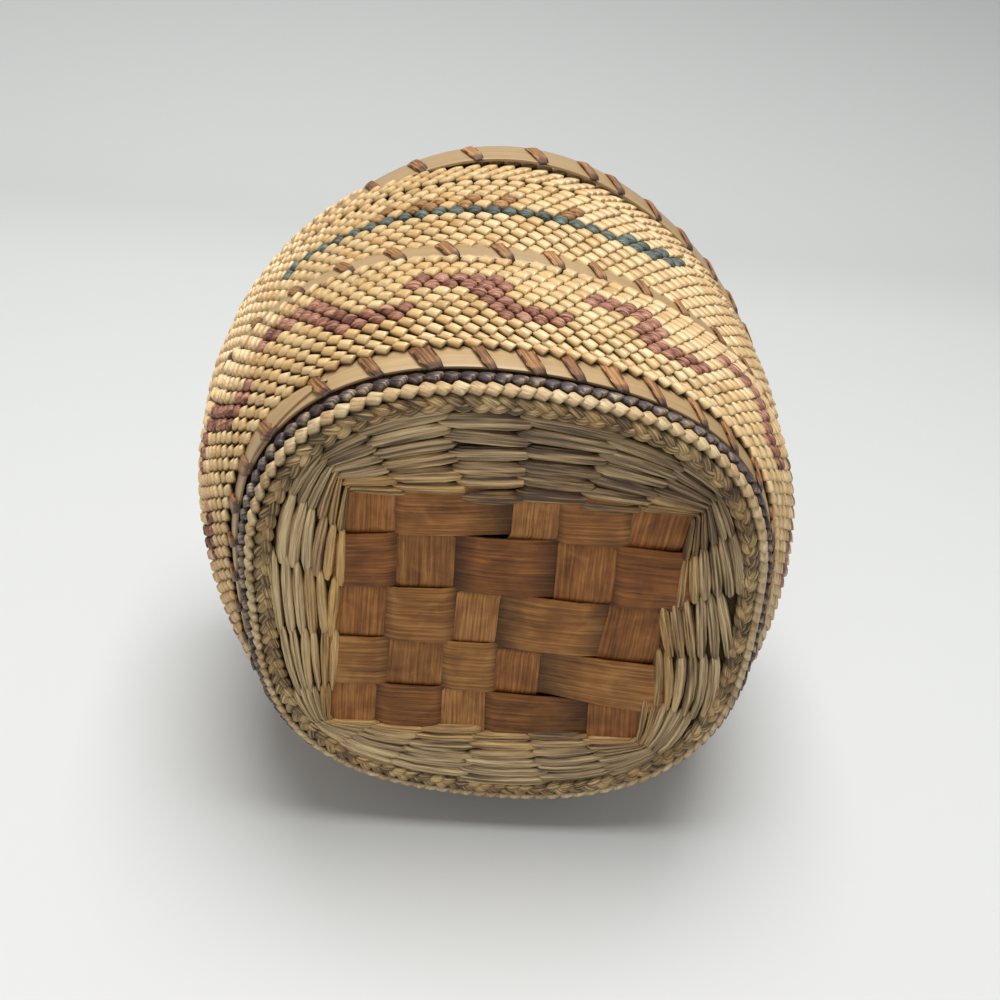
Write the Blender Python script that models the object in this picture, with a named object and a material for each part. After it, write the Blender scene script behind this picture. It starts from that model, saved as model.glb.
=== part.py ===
"""A small lidded basket of the Northwest Coast: a plaited cedar base, twined walls and splint hoops.

The basket stands upright on the cord round its base. Its axis is +Z, and the base plait's
strips run along X and Y. All sizes are in metres.
"""

import math

import bmesh
import bpy

MM = 0.001

# Fits
CLEARANCE = 0.3 * MM
LID_CLEARANCE = 0.5 * MM

# Base: its plait takes a share of its width, and a border and cords go round that
BASE_RADIUS = 33.0 * MM
PLAIT_STRIPS = 5
PLAIT_WIDTH_SHARE = 0.636
PLAIT_DEPTH_SHARE = 0.608
STRIP_THICKNESS = 0.5 * MM
STRIP_SPACING = 1.2 * MM
STRIP_EASING = 0.1 * MM
PLAIT_HEIGHT = 0.6 * MM
EDGE_CORD_WIDTH = 2.3 * MM
EDGE_CORD_HEIGHT = 2.3 * MM
BORDER_ROUND_COUNT = 5
BORDER_HEIGHT = 0.5 * MM
BORDER_RELIEF = 0.5 * MM
BORDER_THICKNESS = 1.5 * MM
COURSE_DIAMETER = 1.4 * MM
LIGHT_COURSE_HEIGHT = 1.2 * MM
DARK_COURSE_HEIGHT = 2.9 * MM

# Body wall: its radii stand out from the base's
WALL_THICKNESS = 1.6 * MM
LOWER_WALL_FLARE = 1.8 * MM
LOWER_WALL_LEDGE = 1.1 * MM
BELLY_FLARE = 8.3 * MM
BELLY_HEIGHT = 16.5 * MM
WAIST_FLARE = 7.2 * MM
SHOULDER_FLARE = 10.0 * MM
SHOULDER_HEIGHT = 39.7 * MM
NECK_BELOW_CROWN = 9.0 * MM
RIM_CORD_DIAMETER = 1.6 * MM
GROOVE_EASING = 0.7 * MM

# How the wall swells on its way up from a hoop, as shares of the rise and of the swell
LOWER_SWELL = ((0.28, 0.42), (0.61, 0.78))
UPPER_SWELL = ((0.42, 0.85), (0.72, 1.0))
BELLY_HOLD = 0.7

# The plan's departures from a circle, as shares of the radius at the base, waist and shoulder:
# rounded corners, one diagonal longer than the other, and width against depth
SQUARENESS = (0.043, 0.018, -0.008)
LEAN = (0.035, 0.046, 0.032)
WIDENING = (-0.031, 0.021, -0.010)
DIAGONAL = math.radians(45)

# Hoops and their lashings
HOOP_THICKNESS = 0.7 * MM
HOOP_HEIGHT = 2.9 * MM
LOWER_HOOP_FOOT = 4.2 * MM
MIDDLE_HOOP_FOOT = 22.9 * MM
LID_HOOP_FOOT = 45.3 * MM
LID_HOOP_HEIGHT = 4.0 * MM
LASHINGS = 40
LASHING_WIDTH = 1.6 * MM
LASHING_THICKNESS = 0.3 * MM
LASHING_SLANT = 1.0 * MM
STANDOFF = 2 * CLEARANCE + LASHING_THICKNESS

# Lid
LID_WALL = 1.8 * MM
LID_TAPER = 0.9 * MM
LID_CROWN_HEIGHT = 56.0 * MM
LID_CROWN_THICKNESS = 1.8 * MM
LID_SHOULDER_RADIUS = 5.0 * MM
LID_DOME_RISE = 2.0 * MM
LID_PLAIT_STRIPS = 3
LID_PLAIT_WIDTH = 16.0 * MM
LID_CROWN_SHARES = (0.75, 0.5, 0.25)

# Sizes that follow from those above
PLAIT_WIDTH = 2 * PLAIT_WIDTH_SHARE * BASE_RADIUS
PLAIT_DEPTH = 2 * PLAIT_DEPTH_SHARE * BASE_RADIUS
LOWER_WALL_RADIUS = BASE_RADIUS + LOWER_WALL_FLARE
BELLY_RADIUS = BASE_RADIUS + BELLY_FLARE
WAIST_RADIUS = BASE_RADIUS + WAIST_FLARE
SHOULDER_RADIUS = BASE_RADIUS + SHOULDER_FLARE
LID_SIDE_RADIUS = SHOULDER_RADIUS - LID_TAPER
LID_FLAT_RADIUS = LID_SIDE_RADIUS - LID_SHOULDER_RADIUS
NECK_TOP = LID_CROWN_HEIGHT - NECK_BELOW_CROWN

# How finely rings and cords are divided
SEGMENTS = 40
CORD_CORNER_COUNT = 6


# Materials

def material(name, colour, roughness):
    """A plain finish of one colour, given as red, green and blue from 0 to 1."""
    made = bpy.data.materials.new(name)
    made.use_nodes = True
    shader = made.node_tree.nodes["Principled BSDF"]
    shader.inputs["Base Color"].default_value = (*colour, 1.0)
    shader.inputs["Roughness"].default_value = roughness
    shader.inputs["Metallic"].default_value = 0.0
    return made


def finish(obj, surface):
    """Gives an object its material, and smooth shading with its sharp edges kept."""
    obj.data.materials.append(surface)
    obj.data.shade_smooth()
    obj.data.set_sharp_from_angle(angle=math.radians(40))
    return obj


def add_object(name, mesh_builder, surface, parent):
    """Turns a bmesh into a named object under its body's empty."""
    bmesh.ops.recalc_face_normals(mesh_builder, faces=mesh_builder.faces)
    mesh = bpy.data.meshes.new(name)
    mesh_builder.to_mesh(mesh)
    mesh_builder.free()
    obj = bpy.data.objects.new(name, mesh)
    bpy.context.scene.collection.objects.link(obj)
    obj.parent = parent
    return finish(obj, surface)


# The basket's plan

def share_at(shares, height):
    """A share that changes evenly from the base to the waist and on to the shoulder."""
    base, waist, shoulder = shares
    if height < MIDDLE_HOOP_FOOT:
        return base + (waist - base) * max(height, 0.0) / MIDDLE_HOOP_FOOT
    rise = min((height - MIDDLE_HOOP_FOOT) / (SHOULDER_HEIGHT - MIDDLE_HOOP_FOOT), 1.0)
    return waist + (shoulder - waist) * rise


def section_scale(angle, height):
    """How far the wall stands from the axis at an angle, as a share of its mean radius."""
    four_fold = share_at(SQUARENESS, height) * math.cos(4 * (angle - DIAGONAL))
    diagonal = share_at(LEAN, height) * math.cos(2 * (angle - DIAGONAL))
    sideways = share_at(WIDENING, height) * math.cos(2 * angle)
    return 1.0 + four_fold + diagonal + sideways


def point_on_plan(radius, angle, height):
    """A point at a mean radius, an angle round the axis and a height."""
    distance = radius * section_scale(angle, height)
    return (distance * math.cos(angle), distance * math.sin(angle), height)


def spin_profile(profile):
    """Spins a closed outline of (radius, height) points round the axis."""
    builder = bmesh.new()
    corners = [builder.verts.new((radius, 0.0, height)) for radius, height in profile]
    edges = [builder.edges.new((a, b)) for a, b in zip(corners, corners[1:] + corners[:1])]
    bmesh.ops.spin(
        builder,
        geom=corners + edges,
        axis=(0, 0, 1),
        cent=(0, 0, 0),
        angle=math.tau,
        steps=SEGMENTS,
        use_merge=True,
    )
    return builder


def turned_ring(name, profile, surface, parent):
    """A ring of a given outline that follows the basket's plan."""
    builder = spin_profile(profile)
    for vertex in builder.verts:
        angle = math.atan2(vertex.co.y, vertex.co.x)
        radius = math.hypot(vertex.co.x, vertex.co.y)
        vertex.co = point_on_plan(radius, angle, vertex.co.z)
    return add_object(name, builder, surface, parent)


def round_outline(radius, height, diameter):
    """The outline of a round cord whose middle lies at a radius and a height."""
    turns = [math.tau * (k + 0.5) / CORD_CORNER_COUNT for k in range(CORD_CORNER_COUNT)]
    return [
        (radius + 0.5 * diameter * math.cos(t), height + 0.5 * diameter * math.sin(t))
        for t in turns
    ]


# Body wall

def wall_outline():
    """The wall's outer side from its foot to its shoulder, as (radius, height) points.

    It lies in a groove behind each hoop, so that the hoop's face is nearly flush with it.
    """
    foot_radius = course_radius() - 0.5 * COURSE_DIAMETER - CLEARANCE
    foot = EDGE_CORD_HEIGHT + CLEARANCE
    course_top = DARK_COURSE_HEIGHT + 0.5 * COURSE_DIAMETER + CLEARANCE
    groove_depth = STANDOFF + HOOP_THICKNESS - CLEARANCE
    lower_top = LOWER_HOOP_FOOT + HOOP_HEIGHT + STANDOFF
    middle_foot = MIDDLE_HOOP_FOOT - STANDOFF
    middle_top = MIDDLE_HOOP_FOOT + HOOP_HEIGHT + STANDOFF
    lower_face = LOWER_WALL_RADIUS + groove_depth + LOWER_WALL_LEDGE
    middle_face = WAIST_RADIUS + groove_depth
    lower_rise = BELLY_HEIGHT - lower_top
    lower_swell = BELLY_RADIUS - lower_face
    upper_rise = SHOULDER_HEIGHT - middle_top
    upper_swell = SHOULDER_RADIUS - middle_face
    return [
        (foot_radius, foot),
        (foot_radius, course_top),
        (LOWER_WALL_RADIUS, LOWER_HOOP_FOOT),
        (LOWER_WALL_RADIUS, lower_top),
        (lower_face, lower_top + GROOVE_EASING),
        *(
            (lower_face + swell * lower_swell, lower_top + rise * lower_rise)
            for rise, swell in LOWER_SWELL
        ),
        (BELLY_RADIUS, BELLY_HEIGHT),
        (
            BELLY_HOLD * BELLY_RADIUS + (1.0 - BELLY_HOLD) * middle_face,
            0.5 * (BELLY_HEIGHT + middle_foot),
        ),
        (middle_face, middle_foot - GROOVE_EASING),
        (WAIST_RADIUS, middle_foot),
        (WAIST_RADIUS, middle_top),
        (middle_face, middle_top + GROOVE_EASING),
        *(
            (middle_face + swell * upper_swell, middle_top + rise * upper_rise)
            for rise, swell in UPPER_SWELL
        ),
        (SHOULDER_RADIUS, SHOULDER_HEIGHT),
    ]


def course_radius():
    """The light and dark courses lie against the outer side of the edge cord."""
    return BASE_RADIUS + CLEARANCE + 0.5 * COURSE_DIAMETER


def neck_radius():
    """The neck is drawn in, so that the lid's wall comes flush with the body's."""
    return LID_SIDE_RADIUS - LID_WALL - LID_CLEARANCE


def body_wall(surface, parent):
    """The twined wall: one shell from the base's edge to the neck, open at the top."""
    outer = wall_outline()
    neck = neck_radius()
    inner = [(radius - WALL_THICKNESS, height) for radius, height in outer[:-1]]
    outer += [(neck, SHOULDER_HEIGHT), (neck, NECK_TOP)]
    inner += [(neck - WALL_THICKNESS, SHOULDER_HEIGHT), (neck - WALL_THICKNESS, NECK_TOP)]
    return turned_ring("body_wall", outer + inner[::-1], surface, parent)


# Base

def strip_path(half_length, crossings, crossing_width, starts_outside, outer, inner):
    """The (place, height) points of a strip that passes under and over what it crosses."""
    flat = 0.5 * crossing_width + STRIP_EASING
    path = []
    for number, place in enumerate(crossings):
        is_outside = (number % 2 == 0) == starts_outside
        height = outer if is_outside else inner
        start = -half_length if number == 0 else place - flat
        end = half_length if number == len(crossings) - 1 else place + flat
        path += [(start, height), (end, height)]
    return path


def plaited_strip(name, path, across, width, along_x, surface, parent):
    """A flat strip of bark along a path, as a ribbon given its thickness by Solidify."""
    builder = bmesh.new()
    near = across - 0.5 * width
    if along_x:
        row = [builder.verts.new((place, near, height)) for place, height in path]
    else:
        row = [builder.verts.new((near, place, height)) for place, height in path]
    edges = [builder.edges.new(pair) for pair in zip(row, row[1:])]
    side = bmesh.ops.extrude_edge_only(builder, edges=edges)["geom"]
    moved = [part for part in side if isinstance(part, bmesh.types.BMVert)]
    shift = (0, width, 0) if along_x else (width, 0, 0)
    bmesh.ops.translate(builder, verts=moved, vec=shift)
    strip = add_object(name, builder, surface, parent)
    thickness = strip.modifiers.new("thickness", "SOLIDIFY")
    thickness.thickness = STRIP_THICKNESS
    thickness.offset = 0.0
    thickness.use_even_offset = True
    return strip


def plait(prefix, count, width, depth, height, surfaces, parent):
    """Interlaced strips, each passing under one neighbour and over the next.

    height is that of the plait's lower side. Each strip is its own piece.
    """
    outer = height + 0.5 * STRIP_THICKNESS
    inner = outer + STRIP_THICKNESS + CLEARANCE
    pitch_x = width / count
    pitch_y = depth / count
    columns = [(j - 0.5 * (count - 1)) * pitch_x for j in range(count)]
    rows = [(i - 0.5 * (count - 1)) * pitch_y for i in range(count)]
    warp_width = pitch_x - STRIP_SPACING
    weft_width = pitch_y - STRIP_SPACING
    for j, place in enumerate(columns):
        path = strip_path(0.5 * depth, rows, weft_width, j % 2 == 0, outer, inner)
        name = f"{prefix}_warp_{j + 1}"
        plaited_strip(name, path, place, warp_width, False, surfaces[0], parent)
    for i, place in enumerate(rows):
        path = strip_path(0.5 * width, columns, warp_width, i % 2 == 1, outer, inner)
        name = f"{prefix}_weft_{i + 1}"
        plaited_strip(name, path, place, weft_width, True, surfaces[1], parent)


def square_point(angle, half_width, half_depth):
    """The point of a rectangle's outline whose corner is reached at 45 degrees."""
    reach = max(abs(math.cos(angle)), abs(math.sin(angle)))
    return (half_width * math.cos(angle) / reach, half_depth * math.sin(angle) / reach)


def ridged_band(low, relief, thickness, count):
    """The outline of a band with rounded ridges below and a level top, from 0 to 1 across."""
    outline = []
    for k in range(count):
        outline.append((k / count, low + relief))
        outline.append(((k + 0.5) / count, low))
    outline.append((1.0, low + relief))
    return outline + [(1.0, low + thickness), (0.0, low + thickness)]


def base_border(surface, parent):
    """Twined rounds that fill the base between the square plait and the edge cord."""
    half_width = 0.5 * PLAIT_WIDTH + CLEARANCE
    half_depth = 0.5 * PLAIT_DEPTH + CLEARANCE
    outer_radius = BASE_RADIUS - EDGE_CORD_WIDTH - CLEARANCE
    outline = ridged_band(BORDER_HEIGHT, BORDER_RELIEF, BORDER_THICKNESS, BORDER_ROUND_COUNT)
    builder = spin_profile([(1.0 + share, height) for share, height in outline])
    for vertex in builder.verts:
        angle = math.atan2(vertex.co.y, vertex.co.x)
        share = math.hypot(vertex.co.x, vertex.co.y) - 1.0
        inner_x, inner_y = square_point(angle, half_width, half_depth)
        outer_x, outer_y, _ = point_on_plan(outer_radius, angle, 0.0)
        vertex.co.x = inner_x + (outer_x - inner_x) * share
        vertex.co.y = inner_y + (outer_y - inner_y) * share
    return add_object("base_border", builder, surface, parent)


def edge_cord(surface, parent):
    """The braided cord round the base, flat underneath where the basket stands on it."""
    inner = BASE_RADIUS - EDGE_CORD_WIDTH
    easing = 0.3 * EDGE_CORD_WIDTH
    outline = [
        (inner + easing, 0.0),
        (BASE_RADIUS - easing, 0.0),
        (BASE_RADIUS, easing),
        (BASE_RADIUS, EDGE_CORD_HEIGHT - easing),
        (BASE_RADIUS - easing, EDGE_CORD_HEIGHT),
        (inner + easing, EDGE_CORD_HEIGHT),
        (inner, EDGE_CORD_HEIGHT - easing),
        (inner, easing),
    ]
    return turned_ring("base_edge_cord", outline, surface, parent)


# Hoops

def hoop(name, inner_radius, foot, height, surface, parent):
    """A flat splint bent to a ring round the wall."""
    outer_radius = inner_radius + HOOP_THICKNESS
    outline = [
        (inner_radius, foot),
        (outer_radius, foot),
        (outer_radius, foot + height),
        (inner_radius, foot + height),
    ]
    return turned_ring(name, outline, surface, parent)


def lashing_strand(name, hoop_radius, foot, height, surface, parent):
    """One flat strand wound round a hoop, slanting across its face and back up behind it.

    Each turn has a corner outside and inside the hoop's two edges, and leads into the next.
    """
    lift = CLEARANCE + 0.5 * LASHING_THICKNESS
    outside = hoop_radius + HOOP_THICKNESS + lift
    inside = hoop_radius - lift
    top = foot + height + lift
    bottom = foot - lift
    turn = math.tau / LASHINGS
    lean = LASHING_SLANT / outside
    bend = 0.5 * LASHING_WIDTH / outside
    corners = [
        (outside, top, -lean),
        (outside, bottom, lean),
        (inside, bottom, lean + bend),
        (inside, top, turn - lean - bend),
    ]
    builder = bmesh.new()
    left = []
    right = []
    for k in range(LASHINGS):
        for radius, level, offset in corners:
            angle = (k + 0.5) * turn + offset
            half_width = 0.5 * LASHING_WIDTH / radius
            left.append(builder.verts.new(point_on_plan(radius, angle - half_width, level)))
            right.append(builder.verts.new(point_on_plan(radius, angle + half_width, level)))
    for k, (near, far) in enumerate(zip(left, right)):
        after = (k + 1) % len(left)
        builder.faces.new((near, left[after], right[after], far))
    strand = add_object(name, builder, surface, parent)
    thickness = strand.modifiers.new("thickness", "SOLIDIFY")
    thickness.thickness = LASHING_THICKNESS
    thickness.offset = 0.0
    thickness.use_even_offset = True
    return strand


def lashed_hoop(place, wall, foot, height, surfaces, parent):
    """A hoop that stands off the wall by its strand's thickness, and that strand."""
    inner_radius = wall + STANDOFF
    hoop(f"{place}_hoop", inner_radius, foot, height, surfaces[0], parent)
    lashing_strand(f"{place}_lashing", inner_radius, foot, height, surfaces[1], parent)


# Lid

def lid_height(radius):
    """The crown's upper side: a low dome that turns down over a round shoulder."""
    share = min(radius / LID_FLAT_RADIUS, 1.0)
    crown_edge = LID_CROWN_HEIGHT - LID_DOME_RISE
    return crown_edge + LID_DOME_RISE * (1.0 - share * share)


def lid_shell(surface, parent):
    """The lid's twined wall and crown, open below and square-holed for its plait."""
    foot = SHOULDER_HEIGHT + CLEARANCE
    hoop_foot = LID_HOOP_FOOT - STANDOFF
    crown_edge = lid_height(LID_FLAT_RADIUS)
    bend = crown_edge - LID_SHOULDER_RADIUS
    turns = [math.radians(a) for a in (0, 30, 60, 90)]
    hole = 0.5 * LID_PLAIT_WIDTH + CLEARANCE
    crown = [LID_FLAT_RADIUS * s + hole * (1 - s) for s in LID_CROWN_SHARES] + [hole]
    outer = [(SHOULDER_RADIUS, foot), (LID_SIDE_RADIUS, hoop_foot)]
    outer += [
        (
            LID_FLAT_RADIUS + LID_SHOULDER_RADIUS * math.cos(t),
            bend + LID_SHOULDER_RADIUS * math.sin(t),
        )
        for t in turns
    ]
    outer += [(radius, lid_height(radius)) for radius in crown]
    inner = [(radius, lid_height(radius) - LID_CROWN_THICKNESS) for radius in reversed(crown)]
    small = LID_SHOULDER_RADIUS - LID_WALL
    inner += [
        (LID_FLAT_RADIUS + small * math.cos(t), bend + small * math.sin(t))
        for t in reversed(turns)
    ]
    inner += [(LID_SIDE_RADIUS - LID_WALL, hoop_foot), (SHOULDER_RADIUS - LID_WALL, foot)]
    builder = spin_profile(outer + inner)
    for vertex in builder.verts:
        angle = math.atan2(vertex.co.y, vertex.co.x)
        radius = math.hypot(vertex.co.x, vertex.co.y)
        spread = min(max((radius - hole) / (LID_FLAT_RADIUS - hole), 0.0), 1.0)
        plan_x, plan_y, height = point_on_plan(radius, angle, vertex.co.z)
        square_x, square_y = square_point(angle, radius, radius)
        vertex.co.x = square_x + (plan_x - square_x) * spread
        vertex.co.y = square_y + (plan_y - square_y) * spread
        vertex.co.z = height
    return add_object("lid_shell", builder, surface, parent)


def body_empty(name):
    """An empty that carries a body's pieces."""
    made = bpy.data.objects.new(name, None)
    bpy.context.scene.collection.objects.link(made)
    return made


def clear_scene():
    for obj in list(bpy.data.objects):
        bpy.data.objects.remove(obj, do_unlink=True)


def main():
    clear_scene()
    straw = material("straw", (0.60, 0.43, 0.24), 0.6)
    grass = material("grey_grass", (0.36, 0.27, 0.16), 0.7)
    bark = material("cedar_bark", (0.17, 0.075, 0.03), 0.75)
    bark_dark = material("cedar_bark_dark", (0.14, 0.06, 0.024), 0.75)
    dark = material("dark_grass", (0.06, 0.045, 0.05), 0.6)
    splint = material("splint", (0.68, 0.48, 0.26), 0.5)
    lashing = material("lashing_bark", (0.34, 0.18, 0.08), 0.6)
    bound = (splint, lashing)

    body = body_empty("basket_axis")
    plait("base", PLAIT_STRIPS, PLAIT_WIDTH, PLAIT_DEPTH, PLAIT_HEIGHT, (bark, bark_dark), body)
    base_border(grass, body)
    edge_cord(grass, body)
    light_ring = round_outline(course_radius(), LIGHT_COURSE_HEIGHT, COURSE_DIAMETER)
    turned_ring("light_course", light_ring, straw, body)
    dark_ring = round_outline(course_radius(), DARK_COURSE_HEIGHT, COURSE_DIAMETER)
    turned_ring("dark_course", dark_ring, dark, body)
    body_wall(straw, body)

    rim_middle = neck_radius() - 0.5 * WALL_THICKNESS
    rim_height = NECK_TOP + CLEARANCE + 0.5 * RIM_CORD_DIAMETER
    rim = round_outline(rim_middle, rim_height, RIM_CORD_DIAMETER)
    turned_ring("rim_cord", rim, grass, body)

    lashed_hoop("lower", LOWER_WALL_RADIUS, LOWER_HOOP_FOOT, HOOP_HEIGHT, bound, body)
    lashed_hoop("middle", WAIST_RADIUS, MIDDLE_HOOP_FOOT, HOOP_HEIGHT, bound, body)

    lid = body_empty("lid_axis")
    lid_shell(straw, lid)
    lid_plait_foot = LID_CROWN_HEIGHT - LID_CROWN_THICKNESS
    plait(
        "lid",
        LID_PLAIT_STRIPS,
        LID_PLAIT_WIDTH,
        LID_PLAIT_WIDTH,
        lid_plait_foot,
        (bark, bark_dark),
        lid,
    )
    lashed_hoop("lid", LID_SIDE_RADIUS, LID_HOOP_FOOT, LID_HOOP_HEIGHT, bound, lid)


main()
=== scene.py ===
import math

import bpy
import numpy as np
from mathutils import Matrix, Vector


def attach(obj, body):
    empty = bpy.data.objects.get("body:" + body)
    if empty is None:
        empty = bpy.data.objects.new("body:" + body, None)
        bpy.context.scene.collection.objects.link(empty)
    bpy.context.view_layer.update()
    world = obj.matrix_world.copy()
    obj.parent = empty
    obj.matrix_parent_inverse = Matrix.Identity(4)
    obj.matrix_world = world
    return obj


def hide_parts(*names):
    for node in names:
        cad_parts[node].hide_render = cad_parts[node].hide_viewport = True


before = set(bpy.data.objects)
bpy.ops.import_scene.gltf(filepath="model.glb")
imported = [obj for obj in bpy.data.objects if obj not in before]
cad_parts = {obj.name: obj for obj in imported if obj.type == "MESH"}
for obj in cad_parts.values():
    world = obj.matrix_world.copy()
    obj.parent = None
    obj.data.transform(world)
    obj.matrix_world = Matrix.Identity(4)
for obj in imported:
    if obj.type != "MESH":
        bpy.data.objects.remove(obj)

# %% [markdown]
# # A small twined basket with a lid
#
# The real basket is woven round upright strips of cedar bark. Narrow blades of grass are
# wrapped round them, one short stitch at a time, about 120 stitches to a row. Three flat
# splint hoops are lashed round it, and its base is a square plait of cedar bark with twined
# grass round it. A picture of grass on a smooth pot would look wrong at its outline and in
# slanting light, so each stitch, strip and strand here is a shape of its own.
#
# Everything is drawn flat first and then wrapped onto the basket: x runs to the right round
# the basket, y runs up the wall, and z stands out from it. All work is done in millimetres,
# and turned to metres when a piece is finished.

MM = 0.001
chance = np.random.default_rng(24)
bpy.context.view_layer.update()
bpy.ops.object.select_all(action="DESELECT")

# %% [markdown]
# The basket isn't quite round. Its base is a square with round corners, and the wall gets
# rounder on its way up. One plan function gives how far the wall stands out at each angle,
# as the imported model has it. A surface is then a line of radii and heights that is turned
# round the axis and pushed out by the plan.

# %% The plan
# Heights in mm, and at each of them how far the corners stand out, one diagonal is longer
# and the basket is wider from side to side, as shares of its radius.
PLAN_LEVELS = (0.0, 22.9, 39.7)
SQUARENESS = (0.043, 0.018, -0.008)
LEAN = (0.035, 0.046, 0.032)
WIDENING = (-0.031, 0.021, -0.010)
DIAGONAL = math.radians(45)


def plan_share(angle, height):
    """How far the wall stands out at an angle, as a share of its mean radius."""
    four_fold = np.interp(height, PLAN_LEVELS, SQUARENESS) * np.cos(4 * (angle - DIAGONAL))
    diagonal = np.interp(height, PLAN_LEVELS, LEAN) * np.cos(2 * (angle - DIAGONAL))
    sideways = np.interp(height, PLAN_LEVELS, WIDENING) * np.cos(2 * angle)
    return 1.0 + four_fold + diagonal + sideways


FOOT_SHIFT = -1.2
FOOT_SHIFT_TOP = 4.6
FOOT_SHIFT_FADE = 3.0


def foot_shift(height):
    """The base was woven a little to one side of the wall's middle, less so on the way up."""
    below = (FOOT_SHIFT_TOP - np.asarray(height, float)) / FOOT_SHIFT_FADE
    return FOOT_SHIFT * np.clip(below, 0.0, 1.0)


# %% Surfaces turned from a line
CORNER_CUTS = 2
OVERRUN = 3.0  # mm that a surface goes on past both ends, for what reaches over them


def rounded(line):
    """Cuts the corners off a line twice, which leaves it smooth."""
    line = [np.array(point, float) for point in line]
    for _ in range(CORNER_CUTS):
        cut = [line[0]]
        for a, b in zip(line, line[1:]):
            cut += [0.75 * a + 0.25 * b, 0.25 * a + 0.75 * b]
        line = cut + [line[-1]]
    return np.array(line)


class Turned:
    """A surface turned from a line of (radius, height) points, found by angle and way along.
    It is square within one radius and follows the plan beyond another. A bump is its place
    and its spread in degrees and how far it stands out."""

    def __init__(self, line, square_within=0.0, round_beyond=1.0, bumps=()):
        line = rounded(line)
        first = line[0] - (line[1] - line[0]) / np.linalg.norm(line[1] - line[0]) * OVERRUN
        last = line[-1] + (line[-1] - line[-2]) / np.linalg.norm(line[-1] - line[-2]) * OVERRUN
        line = np.vstack([first, line, last])
        steps = np.hypot(*np.diff(line, axis=0).T)
        self.way = np.concatenate([[0.0], np.cumsum(steps)]) - OVERRUN
        self.line = line
        self.length = self.way[-1] - OVERRUN
        self.square_within = square_within
        self.round_beyond = round_beyond
        self.bumps = bumps

    def radius(self, along):
        return np.interp(along, self.way, self.line[:, 0])

    def height(self, along):
        return np.interp(along, self.way, self.line[:, 1])

    def at(self, angle, along):
        radius = self.radius(along)
        height = self.height(along)
        span = self.round_beyond - self.square_within
        share = np.clip((radius - self.square_within) / span, 0.0, 1.0)
        square = 1.0 / np.maximum(np.abs(np.cos(angle)), np.abs(np.sin(angle)))
        out = radius * (plan_share(angle, height) * share + square * (1.0 - share))
        for place, spread, extra in self.bumps:
            away = (np.degrees(angle) - place + 180.0) % 360.0 - 180.0
            out = out + extra * np.exp(-((away / spread) ** 2))
        sideways = out * np.sin(angle) + foot_shift(height)
        return np.stack([out * np.cos(angle), sideways, height], axis=-1)


def lifted(surface, angle, along, lift):
    """Points over a surface, raised from it along its normal."""
    here = surface.at(angle, along)
    right = surface.at(angle + 0.001, along) - here
    up = surface.at(angle, along + 0.02) - here
    normal = np.cross(right, up)
    normal /= np.maximum(np.linalg.norm(normal, axis=-1, keepdims=True), 1e-9)
    return here + normal * np.asarray(lift)[..., None]


# %% [markdown]
# The wall is three bands: one up to the middle hoop, one up to the lid, and the neck inside
# the lid. The lid has a flange round the neck, and a low dome that turns square in its middle,
# where its plait is.

# %% The surfaces of the wall and the lid
lower_wall = Turned([
    (36.95, 8.2), (37.4, 8.9), (38.6, 10.4), (40.0, 13.2),
    (40.9, 16.5), (41.0, 19.3), (41.05, 21.8), (40.9, 23.6),
])
upper_wall = Turned([(41.0, 26.3), (41.3, 27.6), (42.3, 32.2), (42.6, 36.1), (42.6, 39.9)])
neck = Turned([(39.4, 40.2), (39.4, 47.2)])
lid_flange = Turned([(42.6, 40.6), (42.5, 45.3)])
LID_FLAT_RADIUS = 36.7
LID_SHOULDER = 5.0
LID_SHOULDER_HEIGHT = 48.6
LID_PLAIT_HALF = 8.3
LID_LINE = [
    (LID_FLAT_RADIUS + LID_SHOULDER * math.cos(turn), LID_SHOULDER_HEIGHT + LID_SHOULDER * math.sin(turn))
    for turn in (math.radians(degrees) for degrees in (0, 15, 30, 45, 60, 75, 90))
] + [(30.0, 54.3), (20.0, 55.1), (LID_PLAIT_HALF + 0.4, 55.5)]
lid_top = Turned(LID_LINE, square_within=LID_PLAIT_HALF, round_beyond=LID_FLAT_RADIUS)
bands = (lower_wall, upper_wall, neck, lid_flange, lid_top)
print("lengths of the bands, mm:", [round(band.length, 1) for band in bands])

# %% [markdown]
# The camera stands where the photographer's did. It is set up first, because the strips of
# the plait and the lashings aren't spaced evenly, and their places are read off the
# photograph, in its pixels. Three functions turn a pixel into a place: one on the flat base,
# one along a ring, and one up the wall.

# %% The camera, and places read from the photograph
PICTURE = 1000
MIDDLE = PICTURE / 2
LENS = 41.4
SENSOR = 36.0
PIXELS = LENS / SENSOR * PICTURE
RIGHT = np.array([0.9933, -0.1113, -0.0327])
DOWN = np.array([0.0691, 0.7937, -0.6044])
FORWARD = np.array([0.0932, 0.5981, 0.7960])
EYE = np.array([-15.67, -101.22, -106.60])

lens_data = bpy.data.cameras.new("camera")
lens_data.lens = LENS
lens_data.sensor_width = SENSOR
lens_data.clip_start = 0.005
camera = bpy.data.objects.new("camera", lens_data)
bpy.context.scene.collection.objects.link(camera)
rows = [[RIGHT[k], -DOWN[k], -FORWARD[k], EYE[k] * MM] for k in range(3)]
camera.matrix_world = Matrix(rows + [[0, 0, 0, 1]])
bpy.context.scene.camera = camera


def pixel_of(points):
    """Where points in millimetres are seen in the photograph."""
    away = points - EYE
    depth = away @ FORWARD
    return MIDDLE + PIXELS * (away @ RIGHT) / depth, MIDDLE + PIXELS * (away @ DOWN) / depth


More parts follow.
